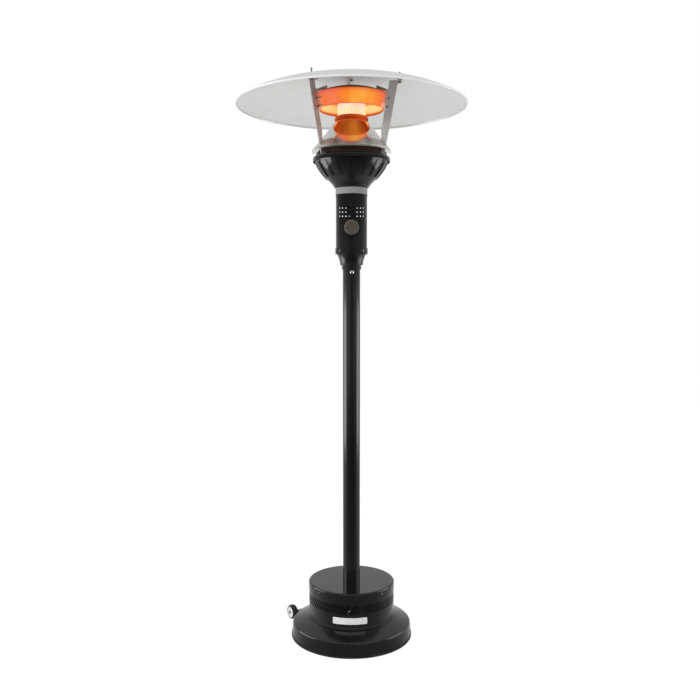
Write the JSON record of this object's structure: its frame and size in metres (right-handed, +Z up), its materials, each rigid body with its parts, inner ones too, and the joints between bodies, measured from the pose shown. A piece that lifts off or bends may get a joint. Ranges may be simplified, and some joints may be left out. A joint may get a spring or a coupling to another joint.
{
  "type": "patio heater",
  "caption": "Free-standing gas patio heater with a weighted round base, tall pole, control housing with a knob, burner bowl, cone, glowing emitter and domed reflector.",
  "frame": {"origin": "on the floor, on the pole's axis", "axes": "+Z up the pole, -Y to the knob and the front, +X to the viewer's right"},
  "size_m": [0.914, 0.914, 2.2591],
  "materials": {
    "edge_rubber": "matt",
    "base_paint": "gloss",
    "pole_paint": "gloss",
    "housing_paint": "gloss",
    "bowl_paint": "gloss",
    "bracket_paint": "satin",
    "plate_metal": "satin",
    "ballast_iron": "rough",
    "zinc_steel": "zinc plated",
    "bright_screws": "bright",
    "dark_screws": "satin",
    "pole_bolt_steel": "bright",
    "gas_brass": "machined",
    "pipe_steel": "satin",
    "tyre_rubber": "matt",
    "hub_plastic": "pale grey",
    "knob_plastic": "satin",
    "knob_bronze": "satin bronze",
    "valve_alloy": "die cast",
    "switch_plastic": "matt",
    "wire_sleeve": "glazed",
    "probe_copper": "drawn",
    "burner_steel": "heat stained",
    "cone_steel": "polished",
    "post_steel": "satin",
    "post_fasteners": "satin",
    "dish_aluminium": "satin",
    "hot_screen": "glowing dark red",
    "hot_cap": "glowing orange",
    "hot_core": "glowing cream",
    "hot_pan": "glowing orange"
  },
  "bodies": {
    "heater": {"base_edge_trim": "edge_rubber", "base_skirt": "base_paint", "base_plate": "zinc_steel", "ballast_weight": "ballast_iron", "base_bolts": "zinc_steel", "base_drum": "base_paint", "drum_plate": "plate_metal", "drum_lid": "base_paint", "drum_screws": "bright_screws", "pole_flange": "zinc_steel", "pole": "pole_paint", "pole_bolts": "pole_bolt_steel", "pole_collar": "pole_paint", "taper_skirt": "pole_paint", "gas_inlet": "gas_brass", "gas_pipe": "pipe_steel", "wheel_bracket": "bracket_paint", "wheel_axle": "zinc_steel", "axle_push_nuts": "zinc_steel", "head_sleeve": "zinc_steel", "head_screws": "bright_screws", "housing_base": "housing_paint", "control_housing": "housing_paint", "neck_collar": "housing_paint", "neck_plate": "plate_metal", "return_spring": "zinc_steel", "gas_valve": "valve_alloy", "valve_bracket": "zinc_steel", "tilt_switch": "switch_plastic", "igniter_module": "switch_plastic", "spark_wire": "wire_sleeve", "gas_orifice": "gas_brass", "venturi_tube": "burner_steel", "pilot_burner": "burner_steel", "heat_probe": "probe_copper", "burner_bowl": "bowl_paint", "burner_screws": "dark_screws", "bowl_lip": "bowl_paint", "burner_plate": "burner_steel", "heat_collar": "burner_steel", "deflector_cone": "cone_steel", "burner_floor": "burner_steel", "burner_screen": "hot_screen", "burner_cap": "hot_cap", "emitter_core": "hot_core", "emitter_pan": "hot_pan", "dish_posts": "post_steel", "emitter_brackets": "post_steel", "bracket_bolts": "post_fasteners", "reflector_dish": "dish_aluminium", "crown_rivet": "post_fasteners", "dish_studs": "post_fasteners"},
    "knob_slider": {"spring_cup": "zinc_steel"},
    "knob": {"control_knob": "knob_plastic", "knob_face": "knob_bronze", "valve_stem": "zinc_steel"},
    "wheel_left": {"wheel_tyre_left": "tyre_rubber", "wheel_hub_left": "hub_plastic"},
    "wheel_right": {"wheel_tyre_right": "tyre_rubber", "wheel_hub_right": "hub_plastic"}
  },
  "joints": [
    {"name": "knob_push", "type": "slide", "parent": "heater", "child": "knob_slider", "axis": [0, 1, 0], "range_m": [0, 0.004], "stiffness_N_per_m": 600, "springref_m": -0.003, "deforming": ["return_spring"]},
    {"name": "knob_turn", "type": "hinge", "parent": "knob_slider", "child": "knob", "pos_m": [0, -0.07, 1.6612], "axis": [0, -1, 0], "range_deg": [0, 180]},
    {"name": "wheel_left_spin", "type": "hinge", "parent": "heater", "child": "wheel_left", "pos_m": [-0.25299, 0.13619, 0.036], "axis": [0.8387, 0.5446, 0], "continuous": true},
    {"name": "wheel_right_spin", "type": "hinge", "parent": "heater", "child": "wheel_right", "pos_m": [-0.02151, 0.28651, 0.036], "axis": [0.8387, 0.5446, 0], "continuous": true}
  ]
}
